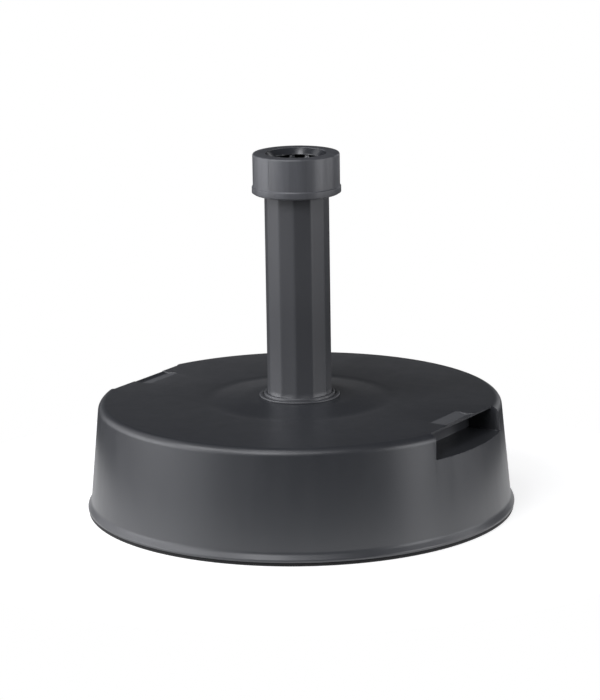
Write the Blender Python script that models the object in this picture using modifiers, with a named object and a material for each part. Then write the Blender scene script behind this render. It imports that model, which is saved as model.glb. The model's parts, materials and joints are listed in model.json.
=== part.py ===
"""Parasol base: a concrete-filled plastic drum with two hand pockets, a faceted
stand pipe and a twist-lock clamp that grips the parasol pole.

Run with:  blender --background --python part.py
Units are metres, +Z is up, the drum stands on its rubber feet at z = 0 and the
pole axis is the Z axis. The two hand pockets face +X and -X.
"""

import math

import bmesh
import bpy
from mathutils import Matrix

# ---------------------------------------------------------------- dimensions

MM = 0.001
GAP = 0.3 * MM                   # clearance left between touching pieces
FINE = 64                        # steps round the drum shell
HIDDEN = 48                      # steps round the tray and the ballast
ROUND = 36                       # steps round the pipe's fittings
COARSE = 16                      # steps round small hardware

# drum shell
LIP_R = 240.0 * MM               # widest radius, at the rolled lip
LIP_Z = 4.3 * MM                 # underside of the lip
SIDE_BOTTOM_R = 235.9 * MM       # side wall just above the lip
SIDE_BOTTOM_Z = 15.0 * MM
SIDE_SLOPE = 0.096               # radius lost per unit of height
DRUM_TOP = 124.5 * MM
RIM_FILLET = 9.3 * MM
WALL = 3.0 * MM
HUB_TOP = 127.5 * MM             # slightly raised disc round the pipe
HUB_FLAT_R = 60.0 * MM
HUB_SLOPE_R = 98.0 * MM
SHELL_HOLE_R = 38.6 * MM

# hand pockets
POCKET_BACK = 178.0 * MM         # back wall, measured from the pole axis
GRIP_EDGE = 206.0 * MM           # straight edge of the top plate
POCKET_HALF = 68.0 * MM
POCKET_FLOOR = 97.0 * MM
POCKET_ROUND = 3.0 * MM
LINER = 2.5 * MM
SCOOP_HALF = 28.5 * MM           # thumb scoop on the top plate
SCOOP_BACK = 184.0 * MM
SCOOP_LOW = 198.0 * MM
SCOOP_DEPTH = 2.0 * MM
SCOOP_PAD_END = 203.0 * MM       # the plate is thicker under the scoop up to here
SCOOP_UNDERSIDE = 119.5 * MM

# tray, feet and screws
TRAY_R = 238.3 * MM
TRAY_Z = 1.5 * MM
TRAY_RIM_TOP = 4.0 * MM
TRAY_FLOOR_TOP = 4.5 * MM
SPIGOT_OUT = 232.3 * MM
SPIGOT_IN = 229.5 * MM
SPIGOT_TOP = 13.0 * MM
HUB_DISH_R = 24.0 * MM
HUB_DISH_Z = 8.0 * MM
HUB_DISH_TOP = 11.0 * MM
FOOT_COUNT = 8
FOOT_R = 14.0 * MM
FOOT_PITCH_R = 205.0 * MM
FOOT_TOP = 2.7 * MM
FOOT_RECESS_TOP = 3.0 * MM
SCREW_COUNT = 6
SCREW_PITCH_R = 229.5 * MM
SCREW_BOSS_R = 5.0 * MM
SCREW_BOSS_TOP = 20.0 * MM
SCREW_HEAD_R = 3.6 * MM
SCREW_SHANK_R = 1.5 * MM

# ballast and socket
BALLAST_Z = 5.0 * MM
BALLAST_TOP = 68.0 * MM
BALLAST_R = 228.8 * MM
BALLAST_TOP_R = 226.0 * MM
SOCKET_IN = 36.5 * MM
SOCKET_OUT = 41.0 * MM
SOCKET_Z = 11.3 * MM
SOCKET_FLOOR = 15.0 * MM
SOCKET_TOP = 82.0 * MM
SOCKET_FLANGE_R = 55.0 * MM
SOCKET_FLANGE = 2.7 * MM

# stand pipe
PIPE_SIDES = 12
PIPE_R = 36.0 * MM               # to the corners of the twelve-sided pipe
PIPE_TURN = math.radians(-2.8)
PIPE_BORE = 31.0 * MM
PIPE_Z = 15.3 * MM
PIPE_TOP = 362.0 * MM
PIPE_FLOOR = 3.0 * MM
PIPE_FLOOR_HOLE = 20.0 * MM

# foot ring round the pipe
RING_Z = 127.8 * MM
RING_OUT = 45.0 * MM
RING_STEP_TOP = 129.4 * MM
RING_IN_STEP = 38.6 * MM
RING_TOP = 132.0 * MM
RING_BORE = 36.6 * MM
RING_SKIRT_Z = 118.0 * MM
RING_SKIRT_R = 38.2 * MM

# pole stop and anchor bolt
STOP_R = 30.7 * MM
STOP_Z = 18.6 * MM
SEAT_Z = 36.0 * MM
STOP_CUP_R = 25.6 * MM
STOP_RIM = 46.0 * MM
NUT_FLATS = 13.0 * MM            # M8 hardware
BOLT_R = 4.0 * MM
BOLT_HEAD = 5.3 * MM
BOLT_HEAD_Z = 0.9 * MM
BOLT_TIP = 28.0 * MM
BOLT_HOLE_R = 4.5 * MM
WASHER_R = 10.0 * MM
WASHER_THICK = 1.4 * MM
NUT_HEIGHT = 6.5 * MM

# threaded head on the pipe
HEAD_CORE_R = 39.5 * MM
HEAD_TOP = 383.5 * MM
HEAD_PLUG_R = 30.7 * MM
HEAD_PLUG_Z = 330.0 * MM
HEAD_BORE = 27.0 * MM
HEAD_MOUTH_R = 33.5 * MM
CONE_R = 29.6 * MM               # radius of the closing cone level with the pipe's top
CONE_SLOPE = 0.275               # radius gained per unit of height

# clamp nut
NUT_Z = 357.0 * MM
NUT_TOP = 402.0 * MM
NUT_R = 48.2 * MM
NUT_LIP_R = 49.4 * MM
NUT_LIP_TOP = 366.0 * MM
NUT_BORE = 41.4 * MM
NUT_SHOULDER = 398.0 * MM
NUT_MOUTH_R = 33.8 * MM

# screw thread shared by the head and the nut
PITCH = 4.0 * MM
HEAD_CREST_R = 40.9 * MM
NUT_CREST_R = 40.0 * MM
CREST_HALF = 0.45 * MM
ROOT_HALF = 0.95 * MM
THREAD_STEPS = 24                # steps in one turn
HEAD_THREAD_Z = 365.0 * MM
HEAD_THREAD_TURNS = 3.5
NUT_THREAD_Z = 363.0 * MM
NUT_THREAD_TURNS = 2.5

# collet: a ring with a funnel, and fingers that hang from it
COLLET_TOP = 401.4 * MM
COLLET_TOP_R = 33.3 * MM
COLLET_LIP = 0.5 * MM
FLANGE_R = 40.6 * MM
FLANGE_TOP = 396.0 * MM
FLANGE_Z = 392.5 * MM
FUNNEL_R = 27.4 * MM
FUNNEL_Z = 395.4 * MM
FINGER_ROOF = 394.8 * MM
FINGER_ROOM_R = 32.0 * MM
FINGER_COUNT = 10
FINGER_FIRST = math.radians(23.5)
FINGER_IN = 26.0 * MM
FINGER_OUT = 31.2 * MM
FINGER_WIDTH = 5.0 * MM
FINGER_TOP = 394.2 * MM
FINGER_TIP = 370.0 * MM
HINGE_R = 28.6 * MM
HINGE_Z = 393.6 * MM
KEY_ANGLES = (math.radians(5.5), math.radians(185.5))
KEY_IN = 34.2 * MM
KEY_OUT = 37.6 * MM
KEY_WIDTH = 6.0 * MM
KEY_Z = 381.0 * MM
KEY_SLOT_Z = 372.3 * MM
SLIP_IN = 33.8 * MM
SLIP_OUT = 40.6 * MM
SLIP_Z = 396.3 * MM
SLIP_TOP = 397.7 * MM

CHARCOAL = (0.052, 0.053, 0.057)
BLACK = (0.014, 0.014, 0.015)
CONCRETE = (0.42, 0.41, 0.39)
ZINC = (0.62, 0.63, 0.65)


# ------------------------------------------------------------- scene helpers

def clear_scene():
    """Remove every object that the file opened with."""
    for obj in list(bpy.data.objects):
        bpy.data.objects.remove(obj, do_unlink=True)


def new_collection(name):
    """Make a collection and link it to the scene."""
    collection = bpy.data.collections.new(name)
    bpy.context.scene.collection.children.link(collection)
    return collection


def make_material(name, color, roughness, metallic=0.0):
    """A Principled BSDF material."""
    material = bpy.data.materials.new(name)
    material.use_nodes = True
    shader = material.node_tree.nodes["Principled BSDF"]
    shader.inputs["Base Color"].default_value = (*color, 1.0)
    shader.inputs["Roughness"].default_value = roughness
    shader.inputs["Metallic"].default_value = metallic
    return material


def add_object(name, bm, collection):
    """Turn a bmesh into an object in a collection."""
    mesh = bpy.data.meshes.new(name)
    bm.to_mesh(mesh)
    bm.free()
    obj = bpy.data.objects.new(name, mesh)
    collection.objects.link(obj)
    return obj


def as_part(obj, material, sharp=30.0):
    """Give a part its material and smooth shading."""
    obj.data.materials.append(material)
    obj.data.shade_smooth()
    obj.data.set_sharp_from_angle(angle=math.radians(sharp))
    return obj


def as_cutter(obj):
    """Show a cutter as wire and leave it out of renders."""
    obj.hide_render = True
    obj.display_type = "WIRE"
    return obj


# ------------------------------------------------------------- shape helpers

def arc(center_r, center_z, radius, start, end, steps):
    """Points of an arc in the (radius, height) plane, angles in degrees."""
    points = []
    for i in range(steps + 1):
        angle = math.radians(start + (end - start) * i / steps)
        points.append((center_r + radius * math.cos(angle), center_z + radius * math.sin(angle)))
    return points


def turned(name, profile, steps, collection, closed=True):
    """Screw a profile round the Z axis. It runs down its outer side first."""
    bm = bmesh.new()
    verts = [bm.verts.new((r, 0.0, z)) for r, z in profile]
    for first, second in zip(verts, verts[1:]):
        bm.edges.new((first, second))
    if closed:
        bm.edges.new((verts[-1], verts[0]))
    obj = add_object(name, bm, collection)
    screw = obj.modifiers.new("turn", "SCREW")
    screw.steps = steps
    screw.render_steps = steps
    screw.use_merge_vertices = True
    screw.merge_threshold = 0.00001
    return obj


def disc(name, radius, low, high, steps, collection):
    """A plain round disc or plug."""
    profile = [(0.0, high), (radius, high), (radius, low), (0.0, low)]
    return turned(name, profile, steps, collection, closed=False)


def tube(name, inner, outer, low, high, steps, collection):
    """A plain round ring."""
    profile = [(outer, high), (outer, low), (inner, low), (inner, high)]
    return turned(name, profile, steps, collection)


def box(name, low, high, collection):
    """A box between two corners."""
    bm = bmesh.new()
    bmesh.ops.create_cube(bm, size=1.0)
    size = [b - a for a, b in zip(low, high)]
    middle = [(a + b) / 2.0 for a, b in zip(low, high)]
    bmesh.ops.scale(bm, vec=size, verts=bm.verts)
    bmesh.ops.translate(bm, vec=middle, verts=bm.verts)
    return add_object(name, bm, collection)


def slab(name, outline, half_width, collection):
    """Extrude an (x, z) outline by half_width each way along Y."""
    curve = bpy.data.curves.new(name, "CURVE")
    curve.dimensions = "2D"
    curve.fill_mode = "BOTH"
    curve.extrude = half_width
    spline = curve.splines.new("POLY")
    spline.points.add(len(outline) - 1)
    for point, (x, z) in zip(spline.points, outline):
        point.co = (x, z, 0.0, 1.0)
    spline.use_cyclic_u = True
    source = bpy.data.objects.new(name + "_outline", curve)
    collection.objects.link(source)
    source.rotation_euler = (math.radians(90.0), 0.0, 0.0)
    bpy.context.view_layer.update()
    evaluated = source.evaluated_get(bpy.context.evaluated_depsgraph_get())
    mesh = bpy.data.meshes.new_from_object(evaluated)
    bm = bmesh.new()
    bm.from_mesh(mesh)
    bmesh.ops.remove_doubles(bm, verts=bm.verts, dist=0.00001)
    bmesh.ops.transform(bm, matrix=source.matrix_world, verts=bm.verts)
    bpy.data.objects.remove(source, do_unlink=True)
    bpy.data.curves.remove(curve)
    bpy.data.meshes.remove(mesh)
    return add_object(name, bm, collection)


def spin(obj, angle):
    """Turn an object's mesh about the Z axis."""
    obj.data.transform(Matrix.Rotation(angle, 4, "Z"))
    return obj


def prism(name, sides, radius, low, high, turn, collection):
    """A regular prism standing on the XY plane, radius to its corners."""
    bm = bmesh.new()
    middle = Matrix.Translation((0.0, 0.0, (low + high) / 2.0))
    bmesh.ops.create_cone(bm, cap_ends=True, segments=sides, radius1=radius, radius2=radius,
                          depth=high - low, matrix=middle @ Matrix.Rotation(turn, 4, "Z"))
    return add_object(name, bm, collection)


def posts(name, count, pitch_radius, first_angle, radius, low, high, steps, collection):
    """Round posts spaced evenly on a circle, as one object."""
    bm = bmesh.new()
    for i in range(count):
        angle = first_angle + i * 2.0 * math.pi / count
        place = Matrix.Translation((pitch_radius * math.cos(angle),
                                    pitch_radius * math.sin(angle), (low + high) / 2.0))
        bmesh.ops.create_cone(bm, cap_ends=True, segments=steps, radius1=radius,
                              radius2=radius, depth=high - low, matrix=place)
    return add_object(name, bm, collection)


def boolean(obj, other, operation):
    """Add an EXACT Boolean modifier."""
    modifier = obj.modifiers.new(other.name, "BOOLEAN")
    modifier.object = other
    modifier.operation = operation
    modifier.solver = "EXACT"


def cut(obj, *others):
    """Take cutters away from an object."""
    for other in others:
        boolean(obj, as_cutter(other), "DIFFERENCE")


def join(obj, *others):
    """Unite helper shapes with an object."""
    for other in others:
        boolean(obj, as_cutter(other), "UNION")


def bevel(obj, width, segments=2, angle=30.0):
    """Round the sharp edges of an object."""
    modifier = obj.modifiers.new("round", "BEVEL")
    modifier.width = width
    modifier.segments = segments
    modifier.limit_method = "ANGLE"
    modifier.angle_limit = math.radians(angle)


def thread(name, root_r, crest_r, start_z, turns, collection):
    """A right-hand helical ridge with a trapezoid section and closed ends."""
    bm = bmesh.new()
    count = int(round(turns * THREAD_STEPS))
    section = [(root_r, -ROOT_HALF), (crest_r, -CREST_HALF), (crest_r, CREST_HALF), (root_r, ROOT_HALF)]
    rings = []
    for i in range(count + 1):
        angle = 2.0 * math.pi * i / THREAD_STEPS
        rise = start_z + PITCH * i / THREAD_STEPS
        ring = []
        for r, dz in section:
            ring.append(bm.verts.new((r * math.cos(angle), r * math.sin(angle), rise + dz)))
        rings.append(ring)
    for lower, upper in zip(rings, rings[1:]):
        for k in range(len(section)):
            nxt = (k + 1) % len(section)
            bm.faces.new((lower[k], lower[nxt], upper[nxt], upper[k]))
    bm.faces.new(reversed(rings[0]))
    bm.faces.new(rings[-1])
    bmesh.ops.recalc_face_normals(bm, faces=bm.faces)
    return add_object(name, bm, collection)


# ---------------------------------------------------------------- drum parts

def drum_outline():
    """Outside of the drum, from the axis at the top down to the lip."""
    fillet_end = math.degrees(math.atan(SIDE_SLOPE))
    fillet_z = DRUM_TOP - RIM_FILLET
    end_z = fillet_z + RIM_FILLET * math.sin(math.radians(fillet_end))
    end_r = SIDE_BOTTOM_R - (end_z - SIDE_BOTTOM_Z) * SIDE_SLOPE
    fillet_r = end_r - RIM_FILLET * math.cos(math.radians(fillet_end))
    points = [(0.0, HUB_TOP), (HUB_FLAT_R, HUB_TOP), (HUB_SLOPE_R, DRUM_TOP)]
    points += arc(fillet_r, fillet_z, RIM_FILLET, 90.0, fillet_end, 5)
    points.append((SIDE_BOTTOM_R, SIDE_BOTTOM_Z))
    points += [(SIDE_BOTTOM_R + 0.9 * MM, 11.0 * MM), (LIP_R - 1.0 * MM, 8.2 * MM), (LIP_R, 7.0 * MM)]
    points += [(LIP_R, LIP_Z + 1.0 * MM), (LIP_R - 1.0 * MM, LIP_Z), (0.0, LIP_Z)]
    return points


def drum_inner_outline():
    """Inside of the shell wall, carried below the lip so that it opens there."""
    top = DRUM_TOP - WALL
    side_top_r = SIDE_BOTTOM_R - WALL - (top - RIM_FILLET - SIDE_BOTTOM_Z) * SIDE_SLOPE
    return [(0.0, top), (side_top_r - 7.0 * MM, top), (side_top_r, top - 7.0 * MM),
            (SIDE_BOTTOM_R - WALL, SIDE_BOTTOM_Z + 1.0 * MM), (LIP_R - 3.6 * MM, 6.5 * MM),
            (LIP_R - 3.6 * MM, -10.0 * MM), (0.0, -10.0 * MM)]


def pocket_cutter(name, side, cutters):
    """The open space of one hand pocket: a reach under the plate, open outside it.

    The plate is thicker under the thumb scoop, so the reach is lower there, but its
    straight front edge keeps the plate's own thickness.
    """
    outline = [(POCKET_BACK, POCKET_FLOOR), (LIP_R + 20.0 * MM, POCKET_FLOOR),
               (LIP_R + 20.0 * MM, DRUM_TOP + 15.0 * MM), (GRIP_EDGE, DRUM_TOP + 15.0 * MM),
               (GRIP_EDGE, DRUM_TOP - WALL), (POCKET_BACK, DRUM_TOP - WALL)]
    cutter = spin(slab(name, outline, POCKET_HALF, cutters), side)
    boss = box(name + "_boss", (POCKET_BACK - 10.0 * MM, -SCOOP_HALF - 2.5 * MM, SCOOP_UNDERSIDE),
               (SCOOP_PAD_END, SCOOP_HALF + 2.5 * MM, DRUM_TOP), cutters)
    cut(cutter, spin(boss, side))
    bevel(cutter, POCKET_ROUND)
    return cutter


def scoop_cutter(name, side, cutters):
    """The thumb scoop: a steep inner slope and a gentle one up to the grip edge."""
    high = DRUM_TOP + 8.0 * MM
    outline = [(SCOOP_BACK, DRUM_TOP), (SCOOP_LOW - 2.0 * MM, DRUM_TOP - SCOOP_DEPTH * 0.8),
               (SCOOP_LOW, DRUM_TOP - SCOOP_DEPTH), (SCOOP_LOW + 2.0 * MM, DRUM_TOP - SCOOP_DEPTH * 0.95),
               (GRIP_EDGE + 1.0 * MM, DRUM_TOP - 0.2 * MM), (GRIP_EDGE + 1.0 * MM, high),
               (SCOOP_BACK, high)]
    return spin(slab(name, outline, SCOOP_HALF, cutters), side)


def make_outer_shell(parts, cutters, material):
    """Drum shell with its hand pockets and the bosses for the tray screws."""
    shell = turned("outer_shell", drum_outline(), FINE, parts, closed=False)
    inside = turned("shell_inside", drum_inner_outline(), FINE, cutters, closed=False)
    for label, side in (("a", 0.0), ("b", math.pi)):
        liner = box("liner_" + label, (POCKET_BACK - LINER, -POCKET_HALF - LINER, POCKET_FLOOR - LINER),
                    (LIP_R + 30.0 * MM, POCKET_HALF + LINER, DRUM_TOP + 20.0 * MM), cutters)
        cut(inside, spin(liner, side))
    cut(shell, inside)
    for label, side in (("a", 0.0), ("b", math.pi)):
        cut(shell, pocket_cutter("pocket_" + label, side, cutters))
        cut(shell, scoop_cutter("scoop_" + label, side, cutters))
    bosses = posts("screw_bosses", SCREW_COUNT, SCREW_PITCH_R, 0.0, SCREW_BOSS_R, LIP_Z,
                   SCREW_BOSS_TOP, 16, cutters)
    pilots = posts("screw_pilots", SCREW_COUNT, SCREW_PITCH_R, 0.0, SCREW_SHANK_R + GAP, -LIP_Z,
                   SCREW_BOSS_TOP - 3.0 * MM, 12, cutters)
    join(shell, bosses)
    cut(shell, pilots, disc("shell_hole", SHELL_HOLE_R, 100.0 * MM, 140.0 * MM, ROUND, cutters))
    as_part(shell, material)


def make_bottom_tray(parts, cutters, material):
    """Tray that closes the drum, with foot recesses and a dished hub."""
    profile = [(0.0, TRAY_FLOOR_TOP), (SPIGOT_IN, TRAY_FLOOR_TOP), (SPIGOT_IN, SPIGOT_TOP),
               (SPIGOT_OUT, SPIGOT_TOP), (SPIGOT_OUT, TRAY_RIM_TOP),
               (TRAY_R - 0.6 * MM, TRAY_RIM_TOP), (TRAY_R, TRAY_RIM_TOP - 0.6 * MM),
               (TRAY_R, TRAY_Z + 0.8 * MM), (TRAY_R - 0.8 * MM, TRAY_Z), (0.0, TRAY_Z)]
    tray = turned("bottom_tray", profile, HIDDEN, parts, closed=False)
    join(tray, disc("hub_dish", HUB_DISH_R, TRAY_Z + 1.0 * MM, HUB_DISH_TOP, ROUND, cutters))
    cut(tray, disc("hub_recess", HUB_DISH_R - 3.0 * MM, -5.0 * MM, HUB_DISH_Z, ROUND, cutters))
    cut(tray, disc("hub_bolt_hole", BOLT_HOLE_R, -5.0 * MM, 20.0 * MM, 16, cutters))
    cut(tray, posts("foot_recesses", FOOT_COUNT, FOOT_PITCH_R, math.pi / FOOT_COUNT,
                    FOOT_R + GAP, -5.0 * MM, FOOT_RECESS_TOP, COARSE, cutters))
    cut(tray, posts("boss_notches", SCREW_COUNT, SCREW_PITCH_R, 0.0, SCREW_BOSS_R + 0.5 * MM,
                    TRAY_RIM_TOP - GAP, 30.0 * MM, 16, cutters))
    cut(tray, posts("screw_holes", SCREW_COUNT, SCREW_PITCH_R, 0.0, SCREW_SHANK_R + GAP,
                    -5.0 * MM, 10.0 * MM, 12, cutters))
    cut(tray, posts("screw_sinks", SCREW_COUNT, SCREW_PITCH_R, 0.0, SCREW_HEAD_R + GAP,
                    -5.0 * MM, FOOT_RECESS_TOP, 16, cutters))
    as_part(tray, material)


def make_foot_pads(parts, material):
    """Round rubber feet glued into the tray's recesses."""
    for i in range(FOOT_COUNT):
        angle = (i + 0.5) * 2.0 * math.pi / FOOT_COUNT
        profile = [(0.0, FOOT_TOP), (FOOT_R, FOOT_TOP), (FOOT_R, 0.5 * MM),
                   (FOOT_R - 0.5 * MM, 0.0), (0.0, 0.0)]
        foot = turned("foot_pad_%d" % (i + 1), profile, COARSE, parts, closed=False)
        foot.location = (FOOT_PITCH_R * math.cos(angle), FOOT_PITCH_R * math.sin(angle), 0.0)
        as_part(foot, material)


def make_tray_screws(parts, material):
    """Pan-head screws that hold the tray to the shell's bosses."""
    head_top = FOOT_RECESS_TOP - GAP
    for i in range(SCREW_COUNT):
        angle = i * 2.0 * math.pi / SCREW_COUNT
        profile = [(0.0, SCREW_BOSS_TOP - 4.0 * MM), (SCREW_SHANK_R, SCREW_BOSS_TOP - 5.5 * MM),
                   (SCREW_SHANK_R, head_top), (SCREW_HEAD_R, head_top),
                   (SCREW_HEAD_R - 0.8 * MM, TRAY_Z + 0.2 * MM), (0.0, TRAY_Z + 0.2 * MM)]
        screw = turned("tray_screw_%d" % (i + 1), profile, 16, parts, closed=False)
        screw.location = (SCREW_PITCH_R * math.cos(angle), SCREW_PITCH_R * math.sin(angle), 0.0)
        as_part(screw, material)


def make_ballast(parts, cutters, material):
    """Cast concrete ring that fills the drum up to below the pockets."""
    profile = [(BALLAST_TOP_R - 4.0 * MM, BALLAST_TOP), (BALLAST_TOP_R, BALLAST_TOP - 4.0 * MM),
               (BALLAST_R, BALLAST_Z), (SOCKET_OUT + GAP, BALLAST_Z), (SOCKET_OUT + GAP, BALLAST_TOP)]
    ballast = turned("concrete_ballast", profile, HIDDEN, parts)
    cut(ballast, posts("ballast_notches", SCREW_COUNT, SCREW_PITCH_R, 0.0,
                       SCREW_BOSS_R + 0.6 * MM, -5.0 * MM, SCREW_BOSS_TOP + 0.6 * MM, 16, cutters))
    as_part(ballast, material)


# ----------------------------------------------------------------- pipe parts

def make_tube_socket(parts, material):
    """Sleeve cast into the concrete that takes the foot of the pipe."""
    flange_z = BALLAST_TOP + GAP
    profile = [(SOCKET_OUT, SOCKET_TOP), (SOCKET_OUT, flange_z + SOCKET_FLANGE),
               (SOCKET_FLANGE_R, flange_z + SOCKET_FLANGE), (SOCKET_FLANGE_R, flange_z),
               (SOCKET_OUT, flange_z), (SOCKET_OUT, SOCKET_Z), (BOLT_HOLE_R, SOCKET_Z),
               (BOLT_HOLE_R, SOCKET_FLOOR), (SOCKET_IN, SOCKET_FLOOR), (SOCKET_IN, SOCKET_TOP)]
    as_part(turned("tube_socket", profile, ROUND, parts), material)


def make_pole_tube(parts, cutters, material):
    """Twelve-sided stand pipe with a bolted floor."""
    pipe = prism("pole_tube", PIPE_SIDES, PIPE_R, PIPE_Z, PIPE_TOP, PIPE_TURN, parts)
    cut(pipe, disc("pipe_bore", PIPE_BORE, PIPE_Z + PIPE_FLOOR, PIPE_TOP + 10.0 * MM, ROUND, cutters))
    cut(pipe, disc("pipe_floor_hole", PIPE_FLOOR_HOLE, 0.0, PIPE_Z + 10.0 * MM, COARSE, cutters))
    as_part(pipe, material, sharp=20.0)


def make_foot_ring(parts, material):
    """Two-step trim ring where the pipe leaves the drum, with a skirt in its hole."""
    groove_r = RING_IN_STEP + 2.0 * MM
    profile = [(RING_IN_STEP, RING_TOP), (RING_IN_STEP, RING_STEP_TOP - 0.9 * MM),
               (groove_r, RING_STEP_TOP - 0.9 * MM), (groove_r, RING_STEP_TOP),
               (RING_OUT - 1.0 * MM, RING_STEP_TOP), (RING_OUT, RING_STEP_TOP - 1.0 * MM),
               (RING_OUT, RING_Z), (RING_SKIRT_R, RING_Z), (RING_SKIRT_R, RING_SKIRT_Z),
               (RING_BORE, RING_SKIRT_Z), (RING_BORE, RING_TOP)]
    as_part(turned("foot_ring", profile, ROUND, parts), material)


def make_pole_stop(parts, cutters, material):
    """Cup in the foot of the pipe: the pole stands on its floor."""
    profile = [(0.0, SEAT_Z), (STOP_CUP_R, SEAT_Z), (STOP_CUP_R, STOP_RIM), (STOP_R, STOP_RIM),
               (STOP_R, STOP_Z), (0.0, STOP_Z)]
    stop = turned("pole_stop", profile, ROUND, parts, closed=False)
    corner_r = (NUT_FLATS / 2.0 + GAP) / math.cos(math.pi / 6.0)
    cut(stop, prism("nut_pocket", 6, corner_r, 0.0, STOP_Z + NUT_HEIGHT + 1.0 * MM, 0.0, cutters))
    cut(stop, disc("bolt_room", BOLT_HOLE_R, 0.0, BOLT_TIP + 1.5 * MM, 16, cutters))
    as_part(stop, material)


def make_anchor(parts, cutters, material):
    """Bolt, washer and captive nut that pull the pipe down onto the tray."""
    corner_r = NUT_FLATS / 2.0 / math.cos(math.pi / 6.0)
    head_top = BOLT_HEAD_Z + BOLT_HEAD
    bolt = prism("anchor_bolt", 6, corner_r, BOLT_HEAD_Z, head_top, 0.0, parts)
    join(bolt, disc("bolt_shank", BOLT_R, BOLT_HEAD_Z + 1.0 * MM, BOLT_TIP, 16, cutters))
    as_part(bolt, material)
    washer_z = head_top + GAP / 2.0
    washer = tube("anchor_washer", BOLT_HOLE_R, WASHER_R, washer_z, washer_z + WASHER_THICK, COARSE, parts)
    as_part(washer, material)
    nut_z = STOP_Z + GAP
    nut = prism("anchor_nut", 6, corner_r, nut_z, nut_z + NUT_HEIGHT, 0.0, parts)
    cut(nut, disc("nut_hole", BOLT_HOLE_R - 0.1 * MM, 0.0, 60.0 * MM, 16, cutters))
    as_part(nut, material)


# ---------------------------------------------------------- twist-lock parts

def make_tube_head(parts, cutters, material):
    """Threaded head on the pipe, with the cone that closes the fingers."""
    cone_top_z = PIPE_TOP + (HEAD_MOUTH_R - CONE_R) / CONE_SLOPE
    cone_low_z = PIPE_TOP - (CONE_R - HEAD_BORE) / CONE_SLOPE
    profile = [(HEAD_CORE_R - 0.6 * MM, HEAD_TOP), (HEAD_CORE_R, HEAD_TOP - 0.6 * MM),
               (HEAD_CORE_R, PIPE_TOP + GAP), (HEAD_PLUG_R, PIPE_TOP + GAP),
               (HEAD_PLUG_R, HEAD_PLUG_Z + 1.0 * MM), (HEAD_PLUG_R - 1.0 * MM, HEAD_PLUG_Z),
               (HEAD_BORE + 0.8 * MM, HEAD_PLUG_Z), (HEAD_BORE, HEAD_PLUG_Z + 0.8 * MM),
               (HEAD_BORE, cone_low_z), (HEAD_MOUTH_R, cone_top_z), (HEAD_MOUTH_R, HEAD_TOP)]
    head = turned("tube_head", profile, ROUND, parts)
    join(head, thread("head_thread", HEAD_CORE_R - 0.4 * MM, HEAD_CREST_R, HEAD_THREAD_Z,
                      HEAD_THREAD_TURNS, cutters))
    for i, angle in enumerate(KEY_ANGLES):
        slot = box("key_slot_%d" % (i + 1), (KEY_IN - 3.0 * MM, -KEY_WIDTH / 2.0 - GAP, KEY_SLOT_Z),
                   (KEY_OUT + GAP, KEY_WIDTH / 2.0 + GAP, HEAD_TOP + 5.0 * MM), cutters)
        cut(head, spin(slot, angle))
    as_part(head, material)


def make_clamp_nut(parts, cutters, material):
    """Hand nut with a grip lip and an internal thread. It turns on the Z axis."""
    profile = [(NUT_MOUTH_R, NUT_TOP - 0.5 * MM), (NUT_MOUTH_R + 0.5 * MM, NUT_TOP)]
    profile += arc(NUT_R - 2.0 * MM, NUT_TOP - 2.0 * MM, 2.0 * MM, 90.0, 0.0, 3)
    profile += [(NUT_R, NUT_LIP_TOP + 0.6 * MM), (NUT_LIP_R, NUT_LIP_TOP - 0.6 * MM),
                (NUT_LIP_R, NUT_Z + 1.2 * MM), (NUT_LIP_R - 1.2 * MM, NUT_Z), (NUT_BORE, NUT_Z),
                (NUT_BORE, NUT_SHOULDER), (NUT_MOUTH_R, NUT_SHOULDER)]
    nut = turned("clamp_nut", profile, ROUND, parts)
    join(nut, thread("nut_thread", NUT_BORE + 0.4 * MM, NUT_CREST_R, NUT_THREAD_Z,
                     NUT_THREAD_TURNS, cutters))
    as_part(nut, material)


def make_slip_washer(parts, material):
    """Thin ring between the turning nut and the collet that doesn't turn."""
    as_part(tube("slip_washer", SLIP_IN, SLIP_OUT, SLIP_Z, SLIP_TOP, ROUND, parts), material)


def make_collet_ring(parts, cutters, material):
    """Funnel ring with a flange under the nut's rim and two keys that stop it turning."""
    profile = [(COLLET_TOP_R, COLLET_TOP), (COLLET_TOP_R, FLANGE_TOP), (FLANGE_R, FLANGE_TOP),
               (FLANGE_R, FLANGE_Z), (FINGER_ROOM_R, FLANGE_Z), (FINGER_ROOM_R, FINGER_ROOF),
               (FUNNEL_R, FINGER_ROOF), (FUNNEL_R, FUNNEL_Z), (COLLET_TOP_R - COLLET_LIP, COLLET_TOP)]
    ring = turned("collet_ring", profile, ROUND, parts)
    for i, angle in enumerate(KEY_ANGLES):
        key = box("key_%d" % (i + 1), (KEY_IN, -KEY_WIDTH / 2.0, KEY_Z),
                  (KEY_OUT, KEY_WIDTH / 2.0, FLANGE_Z + 1.0 * MM), cutters)
        join(ring, spin(key, angle))
    as_part(ring, material)


def make_collet_fingers(parts, material):
    """Ten fingers, each turning on a living hinge under the funnel."""
    for i in range(FINGER_COUNT):
        angle = FINGER_FIRST + i * 2.0 * math.pi / FINGER_COUNT
        finger = box("collet_finger_%02d" % (i + 1),
                     (FINGER_IN - HINGE_R, -FINGER_WIDTH / 2.0, FINGER_TIP - HINGE_Z),
                     (FINGER_OUT - HINGE_R, FINGER_WIDTH / 2.0, FINGER_TOP - HINGE_Z), parts)
        finger.location = (HINGE_R * math.cos(angle), HINGE_R * math.sin(angle), HINGE_Z)
        finger.rotation_euler = (0.0, 0.0, angle)
        bevel(finger, 0.6 * MM, segments=1)
        as_part(finger, material)


# --------------------------------------------------------------------- build

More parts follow.
